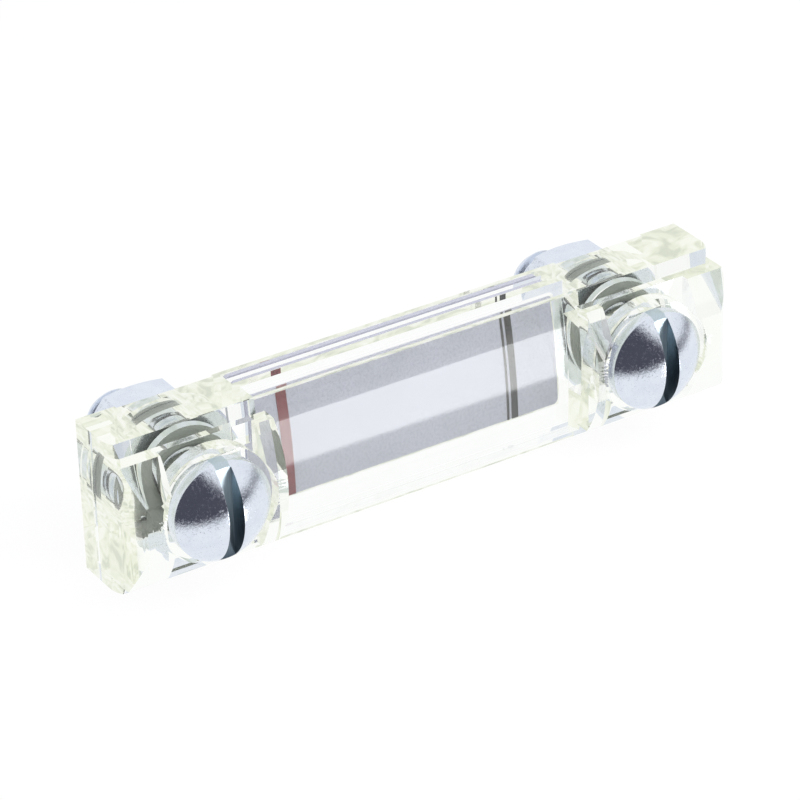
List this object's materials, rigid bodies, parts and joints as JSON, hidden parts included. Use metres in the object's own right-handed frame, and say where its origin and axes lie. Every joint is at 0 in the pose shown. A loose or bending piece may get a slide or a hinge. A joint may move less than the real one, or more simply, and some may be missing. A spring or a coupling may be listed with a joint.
{
  "type": "column level gauge",
  "caption": "Clear column level gauge with a contrast screen and level lines, fixed to a tank wall by drilled slotted screws with sealing rings and nuts.",
  "frame": {"origin": "centre of the mounting face, midway between the two fixing screws", "axes": "+X from the lower to the upper fixing screw, +Y out of the back towards the tank, +Z across the gauge"},
  "size_m": [0.1048, 0.0375, 0.0248],
  "materials": {
    "clear_plastic": "clear moulded, polished",
    "zinc_steel": "bright zinc plate",
    "black_rubber": "moulded",
    "white_lacquer": "satin lacquer",
    "red_print": "satin print",
    "black_print": "satin print"
  },
  "bodies": {
    "root": {"lens_body": "clear_plastic", "rear_base": "clear_plastic", "contrast_screen": "white_lacquer", "minimum_level_line": "red_print", "maximum_level_line": "black_print", "maximum_fine_line": "black_print", "lower_fixing_screw": "zinc_steel", "lower_hex_nut": "zinc_steel", "lower_washer": "zinc_steel", "lower_rear_seal": "black_rubber", "lower_head_seal": "black_rubber", "upper_fixing_screw": "zinc_steel", "upper_hex_nut": "zinc_steel", "upper_washer": "zinc_steel", "upper_rear_seal": "black_rubber", "upper_head_seal": "black_rubber"}
  },
  "joints": []
}
